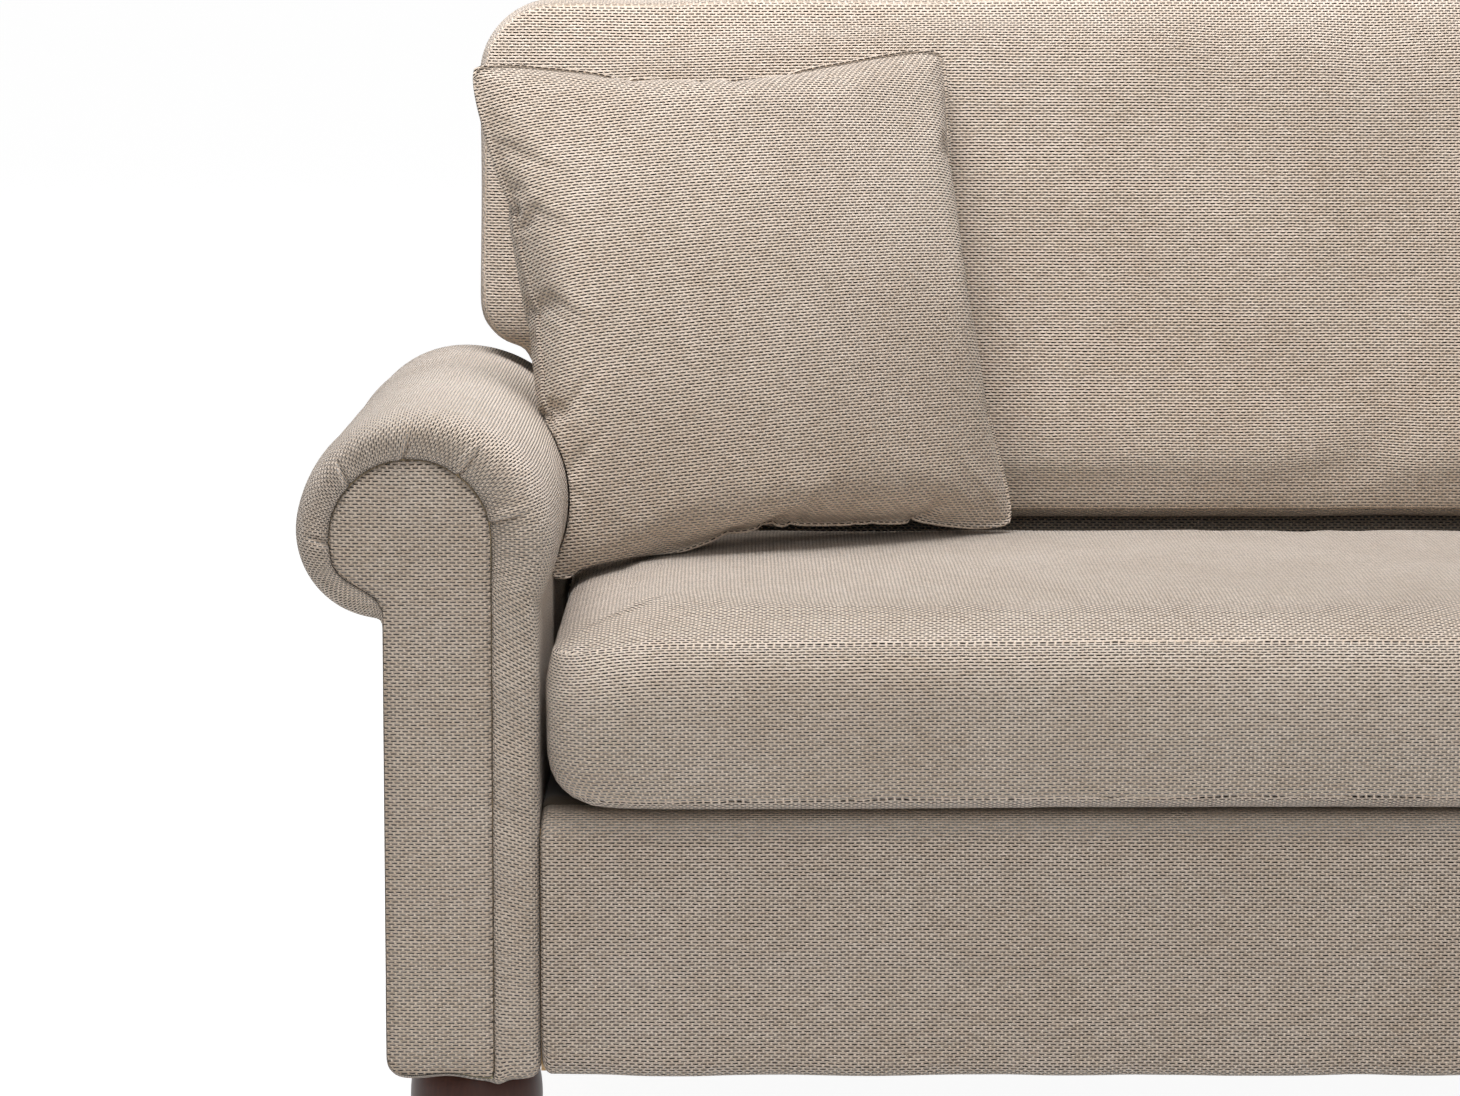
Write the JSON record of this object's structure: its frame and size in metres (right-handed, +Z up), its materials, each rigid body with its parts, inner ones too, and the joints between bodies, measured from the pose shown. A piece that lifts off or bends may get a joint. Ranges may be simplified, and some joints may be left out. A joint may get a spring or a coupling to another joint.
{
  "type": "three-seater sofa",
  "caption": "Upholstered sofa with rolled arms, a long loose seat cushion, a long back cushion, throw pillows and turned wooden feet.",
  "frame": {"origin": "on the floor, under the middle of the overall box", "axes": "+X along the width to the right as seen from the front, -Y out of the front, +Z up"},
  "size_m": [1.9288, 0.8454, 0.9835],
  "materials": {
    "upholstery": "matte coarse weave",
    "pine": "sawn and planed, bare",
    "plywood": "sanded, bare",
    "stained_wood": "dark stain, gloss lacquer",
    "spring_steel": "drawn wire, oiled",
    "zinc_steel": "zinc plated",
    "foam": "open cell, matte",
    "insert_cloth": "thin non-woven cloth",
    "dust_cloth": "thin non-woven cloth",
    "webbing": "woven strap",
    "felt": "pressed felt",
    "zip_tape": "fine woven tape",
    "zip_metal": "cast and tumbled"
  },
  "bodies": {
    "frame": {"front_rail": "pine", "back_rail": "pine", "side_rail_left": "pine", "side_rail_right": "pine", "rear_deck_rail": "pine", "centre_rail": "pine", "corner_blocks": "pine", "seat_springs": "spring_steel", "spring_clips": "spring_steel", "seat_deck": "foam", "dust_cover": "dust_cloth", "front_rail_pad": "foam", "front_rail_cover": "upholstery", "rear_rail_cover": "upholstery", "arm_cover_left": "upholstery", "arm_cover_right": "upholstery", "arm_padding_left": "foam", "arm_padding_right": "foam", "arm_front_panel_left": "plywood", "arm_front_panel_right": "plywood", "arm_rear_panel_left": "plywood", "arm_rear_panel_right": "plywood", "arm_base_left": "plywood", "arm_base_right": "plywood", "arm_top_rail_left": "pine", "arm_top_rail_right": "pine", "arm_facing_left": "upholstery", "arm_facing_right": "upholstery", "arm_back_facing_left": "upholstery", "arm_back_facing_right": "upholstery", "arm_bolts": "zinc_steel", "front_foot_left": "stained_wood", "front_foot_right": "stained_wood", "rear_foot_left": "stained_wood", "rear_foot_right": "stained_wood", "centre_foot": "stained_wood", "foot_plates": "zinc_steel", "foot_bolts": "zinc_steel", "foot_nuts": "zinc_steel", "glides": "felt", "back_post_left": "pine", "back_post_right": "pine", "back_centre_post": "pine", "back_top_rail": "pine", "back_webbing": "webbing", "back_padding": "foam", "back_cover": "upholstery", "back_bolts": "zinc_steel"},
    "seat_cushion": {"seat_cushion_cover": "upholstery", "seat_cushion_foam": "foam", "seat_zip": "zip_tape"},
    "seat_zip_pull": {"seat_zip_slider": "zip_metal"},
    "back_cushion": {"back_cushion_cover": "upholstery", "back_cushion_fill": "foam", "back_zip": "zip_tape"},
    "back_zip_pull": {"back_zip_slider": "zip_metal"},
    "pillow_left": {"pillow_cover_left": "upholstery", "pillow_insert_left": "insert_cloth"},
    "pillow_right": {"pillow_cover_right": "upholstery", "pillow_insert_right": "insert_cloth"}
  },
  "joints": [
    {"name": "seat_cushion_slide", "type": "slide", "parent": "frame", "child": "seat_cushion", "axis": [0, -1, 0], "range_m": [0, 0.3]},
    {"name": "back_cushion_lift", "type": "slide", "parent": "frame", "child": "back_cushion", "axis": [0, 0.2079, 0.9781], "range_m": [0, 0.15]},
    {"name": "pillow_left_lift", "type": "slide", "parent": "seat_cushion", "child": "pillow_left", "axis": [0.3, 0, 0.9539], "range_m": [0, 0.25]},
    {"name": "pillow_right_lift", "type": "slide", "parent": "seat_cushion", "child": "pillow_right", "axis": [-0.3, 0, 0.9539], "range_m": [0, 0.25]},
    {"name": "seat_zip_slide", "type": "slide", "parent": "seat_cushion", "child": "seat_zip_pull", "axis": [1, 0, 0], "range_m": [0, 1.165]},
    {"name": "back_zip_slide", "type": "slide", "parent": "back_cushion", "child": "back_zip_pull", "axis": [1, 0, 0], "range_m": [0, 1.065]}
  ]
}
